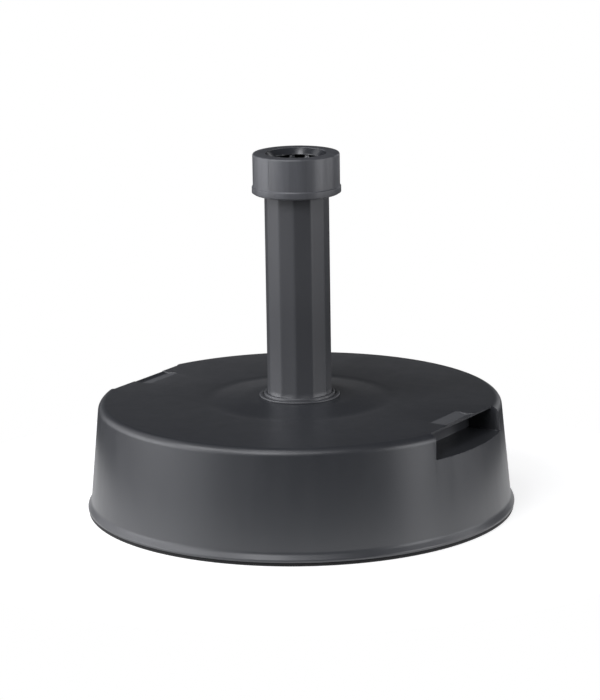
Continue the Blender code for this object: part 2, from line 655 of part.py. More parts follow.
def main():
    """Build the whole base."""
    clear_scene()
    parts = new_collection("parasol_base")
    cutters = new_collection("cutters")

    shell_plastic = make_material("shell_plastic", CHARCOAL, 0.55)
    pipe_plastic = make_material("pipe_plastic", CHARCOAL, 0.5)
    tray_plastic = make_material("tray_plastic", BLACK, 0.6)
    collet_plastic = make_material("collet_plastic", BLACK, 0.4)
    rubber = make_material("foot_rubber", BLACK, 0.85)
    concrete = make_material("cast_concrete", CONCRETE, 0.9)
    zinc = make_material("zinc_steel", ZINC, 0.35, metallic=1.0)

    make_outer_shell(parts, cutters, shell_plastic)
    make_bottom_tray(parts, cutters, tray_plastic)
    make_foot_pads(parts, rubber)
    make_tray_screws(parts, zinc)
    make_ballast(parts, cutters, concrete)
    make_tube_socket(parts, tray_plastic)
    make_pole_tube(parts, cutters, pipe_plastic)
    make_foot_ring(parts, pipe_plastic)
    make_pole_stop(parts, cutters, tray_plastic)
    make_anchor(parts, cutters, zinc)
    make_tube_head(parts, cutters, tray_plastic)
    make_clamp_nut(parts, cutters, pipe_plastic)
    make_slip_washer(parts, collet_plastic)
    make_collet_ring(parts, cutters, collet_plastic)
    make_collet_fingers(parts, collet_plastic)


main()
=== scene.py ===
"""Looks of the parasol base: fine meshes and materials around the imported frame.

Everything is in metres in the frame's own axes: +Z is up along the pole, and the hand
pockets face +X and -X.
"""

import json
import math

import bmesh
import bpy
from mathutils import Matrix, Vector


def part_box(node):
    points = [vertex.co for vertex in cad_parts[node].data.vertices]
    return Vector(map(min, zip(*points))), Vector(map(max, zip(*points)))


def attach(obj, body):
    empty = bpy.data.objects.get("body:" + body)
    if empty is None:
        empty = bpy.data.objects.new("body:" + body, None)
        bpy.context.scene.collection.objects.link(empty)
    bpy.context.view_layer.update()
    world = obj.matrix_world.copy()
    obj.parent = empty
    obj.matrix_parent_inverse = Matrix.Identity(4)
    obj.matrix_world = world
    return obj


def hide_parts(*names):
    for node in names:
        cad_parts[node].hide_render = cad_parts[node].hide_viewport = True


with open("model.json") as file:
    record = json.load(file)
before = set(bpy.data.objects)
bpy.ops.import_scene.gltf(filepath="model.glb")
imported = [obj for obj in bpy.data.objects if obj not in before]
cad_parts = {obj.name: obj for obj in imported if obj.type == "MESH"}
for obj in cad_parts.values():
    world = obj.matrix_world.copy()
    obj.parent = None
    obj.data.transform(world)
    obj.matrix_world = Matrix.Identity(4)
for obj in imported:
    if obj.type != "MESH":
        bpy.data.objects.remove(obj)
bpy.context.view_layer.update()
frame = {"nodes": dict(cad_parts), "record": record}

# ------------------------------------------------------------ sizes of the frame

MM = 0.001
SHELL_LOW, SHELL_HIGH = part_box("outer_shell")
TRAY_LOW, TRAY_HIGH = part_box("bottom_tray")
PIPE_LOW, PIPE_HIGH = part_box("pole_tube")
RING_LOW, RING_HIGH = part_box("foot_ring")
NUT_LOW, NUT_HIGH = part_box("clamp_nut")
COLLET_LOW, COLLET_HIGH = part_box("collet_ring")
STOP_LOW, STOP_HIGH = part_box("pole_stop")

LIP_R = SHELL_HIGH.x
LIP_Z = SHELL_LOW.z
HUB_TOP = SHELL_HIGH.z
DRUM_TOP = HUB_TOP - 3.0 * MM
WALL = 3.0 * MM
SIDE_FOOT_R = LIP_R - 4.1 * MM
SIDE_FOOT_Z = LIP_Z + 9.0 * MM
SIDE_SLOPE = 0.096
RIM_FILLET = 9.3 * MM
SHELL_HOLE_R = 38.6 * MM
LIP_WIDTH = 3.6 * MM             # underside of the lip, outside the tray's room
LIP_HEIGHT = 2.2 * MM
LIP_SHOULDER = 3.2 * MM

HUB_FLAT_R = 58.0 * MM           # the raised disc: flat, then down to a shallow moat
MOAT_R = 99.0 * MM
MOAT_END_R = 110.0 * MM
MOAT_DEPTH = 0.4 * MM

POCKET_BACK = 178.0 * MM
GRIP_EDGE = 206.0 * MM
POCKET_HALF = 68.0 * MM
POCKET_FLOOR = 97.0 * MM
POCKET_ROUND = 3.0 * MM
EDGE_ROUND = 1.6 * MM            # where the pockets meet the outside
FLARE_START = 210.6 * MM         # where a pocket's end walls begin to curve outwards
FLARE_R = 6.0 * MM
FLARE_STEPS = 8
LINER = 2.5 * MM
MERGE_DISTANCE = 0.15 * MM
SHELL_CREASE = 12.5              # degrees; flatter edges of the shell are shaded smooth
SCOOP_HALF = 28.5 * MM
SCOOP_BACK = 184.0 * MM
SCOOP_LOW = 198.0 * MM
SCOOP_DEPTH = 2.0 * MM
SCOOP_RUN = 14.0                 # whole mm from the scoop's back to its low line
SCOOP_PAD_END = 203.0 * MM
SCOOP_UNDERSIDE = 119.5 * MM
PAD_MARGIN = 2.5 * MM            # the thicker plate is this much wider than the scoop

TRAY_RIM_IN = 229.5 * MM         # turned-up rim that centres the tray in the shell
TRAY_RIM_OUT = 232.3 * MM
TRAY_DISH_R = 20.0 * MM

PIPE_SIDES = 12
PIPE_R = 36.0 * MM
PIPE_TURN = math.radians(-2.8)
PIPE_BORE = 31.0 * MM
PIPE_HOLE_R = 20.0 * MM
PIPE_ROUNDING = 0.5 * MM
FACET_STEPS = 8
RING_BORE = 36.6 * MM

NUT_R = 48.2 * MM
NUT_BORE = 41.4 * MM
NUT_MOUTH_R = 33.8 * MM
THREAD_PITCH = 4.0 * MM
THREAD_TURNS = 2.5
THREAD_CREST_R = 40.0 * MM
SEAM_ANGLE = math.radians(-97.0)
SEAM_HALF = 0.35 * MM
SEAM_RISE = 0.12 * MM

FUNNEL_R = 33.3 * MM
FUNNEL_THROAT_R = 27.4 * MM
COLLET_BORE = 32.0 * MM
KEY_IN, KEY_OUT, KEY_HALF = 34.2 * MM, 37.6 * MM, 3.0 * MM
KEY_ANGLES = (math.radians(5.5), math.radians(185.5))
FINGER_COUNT = 10
FINGER_FIRST = 23.5              # degrees
FINGER_IN, FINGER_OUT, FINGER_HALF = 26.0 * MM, 31.2 * MM, 2.5 * MM
FINGER_TEETH = 4

CUP_R = 25.6 * MM
BOLT_HOLE_R = 4.5 * MM
BOLT_HEAD_R = 7.9 * MM

STEPS_DRUM = 240
STEPS_SMALL = 120
STEPS_HOLE = 48
STEPS_THREAD = 72


# -------------------------------------------------------------- mesh helpers

def new_object(name, bm):
    """An object from a bmesh, linked to the scene."""
    mesh = bpy.data.meshes.new(name)
    bm.to_mesh(mesh)
    bm.free()
    obj = bpy.data.objects.new(name, mesh)
    bpy.context.scene.collection.objects.link(obj)
    return obj


def rounded(corners, steps):
    """Points of an outline whose corners are (radius, height, fillet radius), with steps per fillet."""
    points = []
    count = len(corners)
    for i, (r, z, fillet) in enumerate(corners):
        here = Vector((r, z))
        if fillet <= 0.0:
            points.append((r, z))
            continue
        before = (Vector(corners[i - 1][:2]) - here).normalized()
        after = (Vector(corners[(i + 1) % count][:2]) - here).normalized()
        half = math.acos(max(-1.0, min(1.0, before.dot(after)))) / 2.0
        reach = fillet / math.tan(half)
        center = here + (before + after).normalized() * (fillet / math.sin(half))
        start = here + before * reach - center
        end = here + after * reach - center
        sweep = math.atan2(start.x * end.y - start.y * end.x, start.dot(end))
        for k in range(steps + 1):
            turn = Matrix.Rotation(sweep * k / steps, 2)
            point = center + turn @ start
            points.append((point.x, point.y))
    return points


def lathe(name, outline, steps):
    """Turn a closed (radius, height) outline round the Z axis."""
    bm = bmesh.new()
    axis = {}
    rings = []
    for i in range(steps):
        angle = 2.0 * math.pi * i / steps
        ring = []
        for k, (r, z) in enumerate(outline):
            if r < 1e-9:
                if k not in axis:
                    axis[k] = bm.verts.new((0.0, 0.0, z))
                ring.append(axis[k])
            else:
                ring.append(bm.verts.new((r * math.cos(angle), r * math.sin(angle), z)))
        rings.append(ring)
    for i, ring in enumerate(rings):
        after = rings[(i + 1) % steps]
        for k in range(len(outline)):
            nxt = (k + 1) % len(outline)
            corners = []
            for vert in (ring[k], ring[nxt], after[nxt], after[k]):
                if vert not in corners:
                    corners.append(vert)
            if len(corners) > 2:
                bm.faces.new(corners)
    bmesh.ops.recalc_face_normals(bm, faces=bm.faces)
    return new_object(name, bm)


def block(name, low, high, angle):
    """A box between two corners, turned about the Z axis."""
    bm = bmesh.new()
    bmesh.ops.create_cube(bm, size=1.0)
    low, high = Vector(low), Vector(high)
    bmesh.ops.scale(bm, vec=high - low, verts=bm.verts)
    bmesh.ops.translate(bm, vec=(low + high) / 2.0, verts=bm.verts)
    bmesh.ops.transform(bm, matrix=Matrix.Rotation(angle, 4, "Z"), verts=bm.verts)
    return new_object(name, bm)


def prism(name, corners, rise, angle):
    """Extrude a flat outline by a vector, then turn it about the Z axis."""
    bm = bmesh.new()
    face = bm.faces.new([bm.verts.new(corner) for corner in corners])
    grown = bmesh.ops.extrude_face_region(bm, geom=[face])["geom"]
    moved = [item for item in grown if isinstance(item, bmesh.types.BMVert)]
    bmesh.ops.translate(bm, vec=rise, verts=moved)
    bmesh.ops.recalc_face_normals(bm, faces=bm.faces)
    bmesh.ops.transform(bm, matrix=Matrix.Rotation(angle, 4, "Z"), verts=bm.verts)
    return new_object(name, bm)


def slab(name, outline, half_width, angle):
    """Extrude an (x, z) outline by half_width each way along Y."""
    corners = [(x, -half_width, z) for x, z in outline]
    return prism(name, corners, (0.0, 2.0 * half_width, 0.0), angle)


def loft(name, rings):
    """A closed body through rings of equally many points, with a cap at each end."""
    bm = bmesh.new()
    rows = [[bm.verts.new(point) for point in ring] for ring in rings]
    for lower, upper in zip(rows, rows[1:]):
        for k in range(len(lower)):
            nxt = (k + 1) % len(lower)
            bm.faces.new((lower[k], lower[nxt], upper[nxt], upper[k]))
    bm.faces.new(reversed(rows[0]))
    bm.faces.new(rows[-1])
    bmesh.ops.recalc_face_normals(bm, faces=bm.faces)
    return new_object(name, bm)


def bevel(obj, width, segments, angle=35.0):
    """Round the edges sharper than an angle."""
    modifier = obj.modifiers.new("round", "BEVEL")
    modifier.width = width
    modifier.segments = segments
    modifier.limit_method = "ANGLE"
    modifier.angle_limit = math.radians(angle)
    modifier.use_clamp_overlap = True


def boolean(obj, other, operation):
    """Add an EXACT Boolean modifier."""
    modifier = obj.modifiers.new(other.name, "BOOLEAN")
    modifier.object = other
    modifier.operation = operation
    modifier.solver = "EXACT"


def freeze(obj, helpers=()):
    """Apply an object's modifiers and remove the shapes that they used."""
    bpy.context.view_layer.update()
    evaluated = obj.evaluated_get(bpy.context.evaluated_depsgraph_get())
    mesh = bpy.data.meshes.new_from_object(evaluated)
    obj.modifiers.clear()
    obj.data = mesh
    for helper in helpers:
        bpy.data.objects.remove(helper, do_unlink=True)
    return obj


def smooth(obj, angle=32.0):
    """Smooth shading with sharp edges over an angle."""
    obj.data.shade_smooth()
    obj.data.set_sharp_from_angle(angle=math.radians(angle))
    return obj


def finish_piece(obj, body, material, nodes):
    """Material, body, slot and the CAD nodes that a piece stands for."""
    obj.data.materials.clear()
    obj.data.materials.append(material)
    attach(obj, body)
    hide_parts(*nodes)
    return obj


# ----------------------------------------------------------------- materials

class Nodes:
    """Short way to write a material's node tree."""

    def __init__(self, name):
        self.material = bpy.data.materials.new(name)
        self.material.use_nodes = True
        self.tree = self.material.node_tree
        self.shader = self.tree.nodes["Principled BSDF"]

    def add(self, kind, **settings):
        """Add a node and set its properties."""
        node = self.tree.nodes.new(kind)
        for key, value in settings.items():
            setattr(node, key, value)
        return node

    def link(self, source, target):
        """Link two sockets."""
        self.tree.links.new(source, target)

    def noise(self, scale, detail, roughness, stretch=None):
        """Noise in the object's own metres, stretched along an axis if asked."""
        place = self.add("ShaderNodeTexCoord")
        source = place.outputs["Object"]
        if stretch is not None:
            mapping = self.add("ShaderNodeMapping")
            mapping.inputs["Scale"].default_value = stretch
            self.link(source, mapping.inputs["Vector"])
            source = mapping.outputs["Vector"]
        node = self.add("ShaderNodeTexNoise")
        node.inputs["Scale"].default_value = scale
        node.inputs["Detail"].default_value = detail
        node.inputs["Roughness"].default_value = roughness
        self.link(source, node.inputs["Vector"])
        return node.outputs["Fac"]

    def ramp(self, value, low, high, to_low, to_high):
        """Map a value from one range to another, held at the ends."""
        node = self.add("ShaderNodeMapRange")
        node.inputs["From Min"].default_value = low
        node.inputs["From Max"].default_value = high
        node.inputs["To Min"].default_value = to_low
        node.inputs["To Max"].default_value = to_high
        self.link(value, node.inputs["Value"])
        return node.outputs["Result"]

    def times(self, first, second):
        """Product of two sockets."""
        node = self.add("ShaderNodeMath", operation="MULTIPLY")
        self.link(first, node.inputs[0])
        self.link(second, node.inputs[1])
        return node.outputs[0]

    def blend(self, factor, value, other):
        """Mix a socket's value with a number by a factor socket."""
        node = self.add("ShaderNodeMix", data_type="FLOAT")    # inputs 2 and 3 are its numbers
        self.link(factor, node.inputs[0])
        self.link(value, node.inputs[2])
        node.inputs[3].default_value = other
        return node.outputs[0]

    def mix(self, factor, dark, light):
        """Mix two colours, each a tuple or a socket, by a factor socket."""
        node = self.add("ShaderNodeMix", data_type="RGBA")     # inputs 6 and 7 are its colours
        self.link(factor, node.inputs[0])
        for socket, color in ((node.inputs[6], dark), (node.inputs[7], light)):
            if isinstance(color, tuple):
                socket.default_value = (*color, 1.0)
            else:
                self.link(color, socket)
        return node.outputs[2]

    def bump(self, height, strength, distance, normal=None):
        """A Bump node, chained onto another one's normal."""
        node = self.add("ShaderNodeBump")
        node.inputs["Strength"].default_value = strength
        node.inputs["Distance"].default_value = distance
        self.link(height, node.inputs["Height"])
        if normal is not None:
            self.link(normal, node.inputs["Normal"])
        return node.outputs["Normal"]


def scoop_highlight_mask(n):
    """1 on the two thumb scoops of the top plate, where a paler painted highlight goes, 0 elsewhere."""
    soft = 0.5 * MM
    place = n.add("ShaderNodeTexCoord")
    parts = n.add("ShaderNodeSeparateXYZ")
    n.link(place.outputs["Object"], parts.inputs[0])
    mask = n.ramp(parts.outputs["Z"], DRUM_TOP - 3.0 * MM, DRUM_TOP - 2.6 * MM, 0.0, 1.0)
    for axis, low, high in (("X", SCOOP_BACK, SCOOP_LOW + 1.0 * MM), ("Y", -1.0, SCOOP_HALF - 0.6 * MM)):
        size = n.add("ShaderNodeMath", operation="ABSOLUTE")
        n.link(parts.outputs[axis], size.inputs[0])
        mask = n.times(mask, n.ramp(size.outputs[0], low, low + soft, 0.0, 1.0))
        mask = n.times(mask, n.ramp(size.outputs[0], high, high + soft, 1.0, 0.0))
    return mask


def moulded_plastic(name, color, gloss, grain, streak=None, tone=0.06, specular=0.8, scoops=False):
    """Injection-moulded plastic: faint flow marks, fine satin grain, uneven sheen. Flow marks stretched tall
    and strongly toned, as on the nut, are painted reflection streaks.

    The flow marks vary the colour by the tone either way. With scoops, the drum's thumb
    scoops get a coarser, rougher finish and a paler colour that is a painted highlight.
    """
    n = Nodes(name)
    cloud = n.noise(14.0, 4.0, 0.6, stretch=streak)
    speck = n.noise(900.0, 2.0, 0.5)
    dark = tuple(c * (1.0 - tone) for c in color)
    light = tuple(c * (1.0 + tone) for c in color)
    base = n.mix(n.ramp(cloud, 0.3, 0.7, 0.0, 1.0), dark, light)
    dusty = tuple(c * 1.4 for c in color)
    base = n.mix(n.ramp(speck, 0.62, 0.8, 0.0, 0.4), base, dusty)
    sheen = n.noise(45.0, 3.0, 0.6, stretch=streak)
    rough = n.ramp(sheen, 0.3, 0.7, gloss - 0.02, gloss + 0.03)
    if scoops:
        # painted highlight: the scoops' colour is made paler where their facets catch light
        mask = scoop_highlight_mask(n)
        base = n.mix(mask, base, SCOOP_HIGHLIGHT_GREY)
        rough = n.blend(mask, rough, 0.5)
    n.link(base, n.shader.inputs["Base Color"])
    n.link(rough, n.shader.inputs["Roughness"])
    waves = n.bump(n.noise(60.0, 2.0, 0.5), 0.05, 0.3 * MM)
    fine = n.bump(n.noise(2600.0, 2.0, 0.6), grain, 0.05 * MM, waves)
    n.link(fine, n.shader.inputs["Normal"])
    n.shader.inputs["IOR"].default_value = 1.5
    n.shader.inputs["Specular IOR Level"].default_value = specular
    return n.material


def foot_rubber(name):
    """Dull black rubber with a dusty bloom."""
    n = Nodes(name)
    bloom = n.noise(220.0, 4.0, 0.65)
    n.link(n.mix(n.ramp(bloom, 0.45, 0.75, 0.0, 1.0), (0.012, 0.012, 0.012), (0.045, 0.043, 0.04)),
           n.shader.inputs["Base Color"])
    n.shader.inputs["Roughness"].default_value = 0.85
    n.link(n.bump(n.noise(1500.0, 2.0, 0.6), 0.3, 0.1 * MM), n.shader.inputs["Normal"])
    return n.material


def cast_concrete(name):
    """Cast concrete: cement mottling, sand and small pores."""
    n = Nodes(name)
    cloud = n.noise(18.0, 6.0, 0.65)
    sand = n.noise(700.0, 3.0, 0.7)
    base = n.mix(n.ramp(cloud, 0.3, 0.7, 0.0, 1.0), (0.30, 0.29, 0.27), (0.50, 0.49, 0.46))
    base = n.mix(n.ramp(sand, 0.55, 0.75, 0.0, 0.6), base, (0.22, 0.21, 0.20))
    n.link(base, n.shader.inputs["Base Color"])
    n.shader.inputs["Roughness"].default_value = 0.92
    place = n.add("ShaderNodeTexCoord")
    pores = n.add("ShaderNodeTexVoronoi")
    pores.inputs["Scale"].default_value = 220.0
    n.link(place.outputs["Object"], pores.inputs["Vector"])
    holes = n.ramp(pores.outputs["Distance"], 0.0, 0.22, 0.0, 1.0)
    rough = n.bump(sand, 0.5, 0.4 * MM, n.bump(holes, 0.6, 1.0 * MM))
    n.link(rough, n.shader.inputs["Normal"])
    return n.material


def zinc_steel(name):
    """Zinc-plated steel with turning marks and a dull bloom."""
    n = Nodes(name)
    bloom = n.noise(160.0, 4.0, 0.6)
    n.link(n.mix(n.ramp(bloom, 0.35, 0.7, 0.0, 1.0), (0.60, 0.61, 0.63), (0.72, 0.70, 0.64)),
           n.shader.inputs["Base Color"])
    n.shader.inputs["Metallic"].default_value = 1.0
    n.link(n.ramp(bloom, 0.3, 0.7, 0.25, 0.42), n.shader.inputs["Roughness"])
    marks = n.noise(400.0, 2.0, 0.5, stretch=(1.0, 1.0, 12.0))
    n.link(n.bump(marks, 0.15, 0.05 * MM), n.shader.inputs["Normal"])
    return n.material


# --------------------------------------------------------------------- pieces

def side_radius(z):
    """Radius of the drum's straight tapered side at a height."""
    return SIDE_FOOT_R - (z - SIDE_FOOT_Z) * SIDE_SLOPE


def drum_corners():
    """Top of the drum from the pipe's hole over the raised disc to the rim."""
    return [(SHELL_HOLE_R, HUB_TOP, 0.0), (HUB_FLAT_R, HUB_TOP, 200.0 * MM),
            (MOAT_R, DRUM_TOP - MOAT_DEPTH, 120.0 * MM), (MOAT_END_R, DRUM_TOP, 200.0 * MM),
            (side_radius(DRUM_TOP), DRUM_TOP, RIM_FILLET)]


def scoop_outline():
    """Section of the thumb scoop: an even fall to its low line, then a rise to the grip edge."""
    back = SCOOP_BACK - 1.0 * MM
    front = GRIP_EDGE + 3.0 * MM
    back_z = DRUM_TOP + SCOOP_DEPTH / SCOOP_RUN
    above = DRUM_TOP + 8.0 * MM
    corners = [(back, above, 0.0), (front, above, 0.0), (front, DRUM_TOP - 0.1 * MM, 0.0),
               (SCOOP_LOW, DRUM_TOP - SCOOP_DEPTH, 4.0 * MM), (back, back_z, 0.0)]
    return rounded(corners, steps=8)


def pocket_plan(name, outside, above, angle):
    """Room of a pocket: straight walls whose outer ends curve out to the drum's side."""
    side = [(POCKET_BACK, POCKET_HALF)]
    for i in range(FLARE_STEPS + 1):
        turn = math.radians(90.0 * i / FLARE_STEPS)
        side.append((FLARE_START + FLARE_R * math.sin(turn), POCKET_HALF + FLARE_R * (1.0 - math.cos(turn))))
    side.append((outside, POCKET_HALF + FLARE_R))
    plan = side + [(x, -y) for x, y in reversed(side)]
    corners = [(x, y, POCKET_FLOOR) for x, y in plan]
    return prism(name, corners, (0.0, 0.0, above - POCKET_FLOOR), angle)


def pocket_shapes(label, angle):
    """Cutters of one hand pocket: its liner's outside, its space and its scoop."""
    outside = LIP_R + 30.0 * MM
    above = DRUM_TOP + 15.0 * MM
    inside = POCKET_BACK - 10.0 * MM
    over = POCKET_HALF + 20.0 * MM
    pad_half = SCOOP_HALF + PAD_MARGIN
    wide = POCKET_HALF + LINER
    liner = block("liner_" + label, (POCKET_BACK - LINER, -wide, POCKET_FLOOR - LINER),
                  (outside, wide, above), angle)
    space = pocket_plan("space_" + label, outside, above, angle)
    plate = block("plate_" + label, (inside, -over, DRUM_TOP - WALL),
                  (GRIP_EDGE, over, above + 1.0 * MM), angle)
    pad = block("pad_" + label, (inside, -pad_half, SCOOP_UNDERSIDE),
                (SCOOP_PAD_END, pad_half, DRUM_TOP), angle)
    boolean(space, plate, "DIFFERENCE")
    boolean(space, pad, "DIFFERENCE")
    bevel(space, POCKET_ROUND, 8)
    freeze(space, [plate, pad])
    scoop = slab("scoop_" + label, scoop_outline(), SCOOP_HALF, angle)
    bevel(scoop, 1.0 * MM, 8)
    freeze(scoop)
    return liner, space, scoop


def on_pocket_mouth(edge):
    """Whether an edge is a sharp convex one where a pocket cuts the outside of the drum."""
    if not edge.is_manifold or not edge.is_convex or edge.calc_face_angle() < math.radians(40.0):
        return False
    middle = (edge.verts[0].co + edge.verts[1].co) / 2.0
    along = abs(middle.x)
    outer = math.hypot(middle.x, middle.y) > side_radius(middle.z) - 1.0 * MM
    top = middle.z > DRUM_TOP - 9.0 * MM and along > POCKET_BACK + 20.0 * MM
    under = middle.z < DRUM_TOP - 2.0 * MM and along < GRIP_EDGE + 1.0 * MM
    above_floor = middle.z > POCKET_FLOOR - 1.0 * MM
    on_liner = abs(abs(middle.y) - POCKET_HALF - LINER) < 0.3 * MM
    return (outer or top) and not under and above_floor and not on_liner


def round_pocket_edges(shell):
    """Round the convex edges where the pockets cut the outside of the drum.

    Corners that the cuts left very close together are merged first.
    """
    bm = bmesh.new()
    bm.from_mesh(shell.data)
    near = [v for v in bm.verts if v.co.z > POCKET_FLOOR - 6.0 * MM and abs(v.co.x) > POCKET_BACK - 8.0 * MM]
    bmesh.ops.remove_doubles(bm, verts=near, dist=MERGE_DISTANCE)
    edges = [edge for edge in bm.edges if on_pocket_mouth(edge)]
    bmesh.ops.bevel(bm, geom=edges, offset=EDGE_ROUND, segments=8, profile=0.5, affect="EDGES",
                    clamp_overlap=True)
    bm.to_mesh(shell.data)
    bm.free()


def make_shell(material):
    """Drum shell: rolled lip, tapered side, rounded rim, pockets with scoops."""
    corners = drum_corners()
    corners += [(SIDE_FOOT_R, SIDE_FOOT_Z, 9.0 * MM),
                (LIP_R - 0.4 * MM, LIP_Z + LIP_SHOULDER, 1.6 * MM),
                (LIP_R, LIP_Z + LIP_HEIGHT, 0.8 * MM), (LIP_R, LIP_Z, 1.2 * MM), (SHELL_HOLE_R, LIP_Z, 0.0)]
    shell = lathe("drum_shell", rounded(corners, steps=11), STEPS_DRUM)
    lip_in = LIP_R - LIP_WIDTH
    below = LIP_Z - 10.0 * MM
    ceiling = DRUM_TOP - WALL
    inner = [(0.0, below, 0.0), (lip_in, below, 0.0), (lip_in, LIP_Z + 3.0 * MM, 3.0 * MM),
             (SIDE_FOOT_R - WALL, SIDE_FOOT_Z, 6.0 * MM),
             (side_radius(DRUM_TOP) - WALL, ceiling, RIM_FILLET - WALL), (0.0, ceiling, 0.0)]
    inside = lathe("inside", rounded(inner, steps=4), STEPS_DRUM // 2)
    helpers = [inside]
    cutters = []
    for label, angle in (("a", 0.0), ("b", math.pi)):
        liner, space, scoop = pocket_shapes(label, angle)
        boolean(inside, liner, "DIFFERENCE")
        helpers.append(liner)
        cutters += [space, scoop]
    boolean(shell, inside, "DIFFERENCE")
    for cutter in cutters:
        boolean(shell, cutter, "DIFFERENCE")
    freeze(shell, helpers + cutters)
    round_pocket_edges(shell)
    smooth(shell, SHELL_CREASE)
    return finish_piece(shell, "base", material, ["outer_shell"])


def make_tray(material):
    """Tray under the drum, with its turned-up edge below the lip."""
    low = TRAY_LOW.z
    top = TRAY_HIGH.z
    edge = TRAY_HIGH.x + 0.8 * MM
    band_low = low - 1.0 * MM
    dish_low, dish_top = low + 7.0 * MM, low + 9.5 * MM
    corners = [(BOLT_HOLE_R + 0.1 * MM, dish_low, 0.0), (TRAY_DISH_R, dish_low, 1.0 * MM),
               (TRAY_DISH_R + 1.5 * MM, low, 1.0 * MM), (edge - 10.0 * MM, low, 0.5 * MM),
               (edge - 9.0 * MM, band_low, 0.5 * MM), (edge, band_low, 0.6 * MM),
               (edge, low + 2.5 * MM, 0.5 * MM), (TRAY_RIM_OUT, low + 2.5 * MM, 0.0),
               (TRAY_RIM_OUT, top, 0.5 * MM), (TRAY_RIM_IN, top, 0.5 * MM),
               (TRAY_RIM_IN, low + 3.0 * MM, 0.0), (TRAY_DISH_R + 4.0 * MM, low + 3.0 * MM, 1.0 * MM),
               (TRAY_DISH_R + 2.5 * MM, dish_top, 1.0 * MM), (BOLT_HOLE_R + 0.1 * MM, dish_top, 0.0)]
    tray = smooth(lathe("tray", rounded(corners, steps=3), STEPS_DRUM))
    return finish_piece(tray, "base", material, ["bottom_tray"])


def make_ring(material):
    """Foot ring: an outer bead, a groove and a taller inner bead round the pipe."""
    low, top = RING_LOW.z, RING_HIGH.z
    seat = low + 9.8 * MM
    skirt_r = SHELL_HOLE_R - 0.4 * MM
    bead, groove = seat + 1.9 * MM, seat + 0.7 * MM
    groove_out, groove_in = 41.6 * MM, 39.9 * MM
    corners = [(RING_BORE, low, 0.0), (skirt_r, low, 0.0), (skirt_r, seat, 0.0),
               (RING_HIGH.x, seat, 0.0), (RING_HIGH.x, bead, 1.2 * MM),
               (groove_out, bead, 1.0 * MM), (groove_out - 0.3 * MM, groove, 0.2 * MM),
               (groove_in, groove, 0.2 * MM), (groove_in - 0.5 * MM, top, 1.2 * MM),
               (RING_BORE, top, 0.6 * MM)]
    ring = smooth(lathe("foot_collar", rounded(corners, steps=6), STEPS_SMALL))
    return finish_piece(ring, "base", material, ["foot_ring"])


def pipe_columns():
    """Places round the pipe: (facet's middle, distance across it, place on it from -1 to 1)."""
    half = math.pi / PIPE_SIDES
    half_width = math.tan(half) * PIPE_R * math.cos(half) - PIPE_ROUNDING
    columns = []
    for side in range(PIPE_SIDES):
        middle = PIPE_TURN + (2 * side + 1) * half
        for k in range(FACET_STEPS + 1):
            place = 2.0 * k / FACET_STEPS - 1.0
            columns.append((middle, place * half_width, place))
    return columns


def make_pipe(material):
    """Twelve-sided pipe whose facets scoop out into the ring at the foot."""
    flat_r = PIPE_R * math.cos(math.pi / PIPE_SIDES)
    flare_foot = RING_HIGH.z - 1.0 * MM
    flare_top = RING_HIGH.z + 5.0 * MM
    flare_out = 1.5 * MM
    steps = 11
    heights = [PIPE_LOW.z, RING_HIGH.z - 6.0 * MM, flare_foot]
    for i in range(1, steps + 1):
        heights.append(flare_foot + (flare_top - flare_foot) * i / steps)
    heights += [(flare_top + PIPE_HIGH.z) / 2.0, PIPE_HIGH.z]
    columns = pipe_columns()
    rings = []
    for z in heights:
        rise = 0.0
        if z >= flare_foot:
            rise = max(0.0, (flare_top - z) / (flare_top - flare_foot)) ** 2.2
        ring = []
        for middle, across, place in columns:
            bulge = rise * flare_out * (0.35 + 0.65 * (1.0 - place * place))
            ring.append(Matrix.Rotation(middle, 3, "Z") @ Vector((flat_r + bulge, across, z)))
        rings.append(ring)
    pipe = loft("stand_pipe", rings)
    floor = PIPE_LOW.z + 3.0 * MM
    above = PIPE_HIGH.z + 5.0 * MM
    bore = lathe("bore", [(0.0, floor), (PIPE_BORE, floor), (PIPE_BORE, above), (0.0, above)], STEPS_SMALL)
    hole = lathe("hole", [(0.0, 0.0), (PIPE_HOLE_R, 0.0), (PIPE_HOLE_R, floor + 5.0 * MM),
                          (0.0, floor + 5.0 * MM)], STEPS_HOLE)
    boolean(pipe, bore, "DIFFERENCE")
    boolean(pipe, hole, "DIFFERENCE")
    smooth(freeze(pipe, [bore, hole]), 40.0)
    return finish_piece(pipe, "base", material, ["pole_tube"])


def thread_ridge(name, root_r, crest_r, start_z):
    """The nut's helical ridge, a closed body with a trapezoid section."""
    root_half, crest_half = 0.95 * MM, 0.45 * MM
    section = [(root_r, -root_half), (crest_r, -crest_half), (crest_r, crest_half), (root_r, root_half)]
    rings = []
    for i in range(int(THREAD_TURNS * STEPS_THREAD) + 1):
        turn = Matrix.Rotation(2.0 * math.pi * i / STEPS_THREAD, 3, "Z")
        rise = start_z + THREAD_PITCH * i / STEPS_THREAD
        rings.append([turn @ Vector((r, 0.0, rise + dz)) for r, dz in section])
    return loft(name, rings)


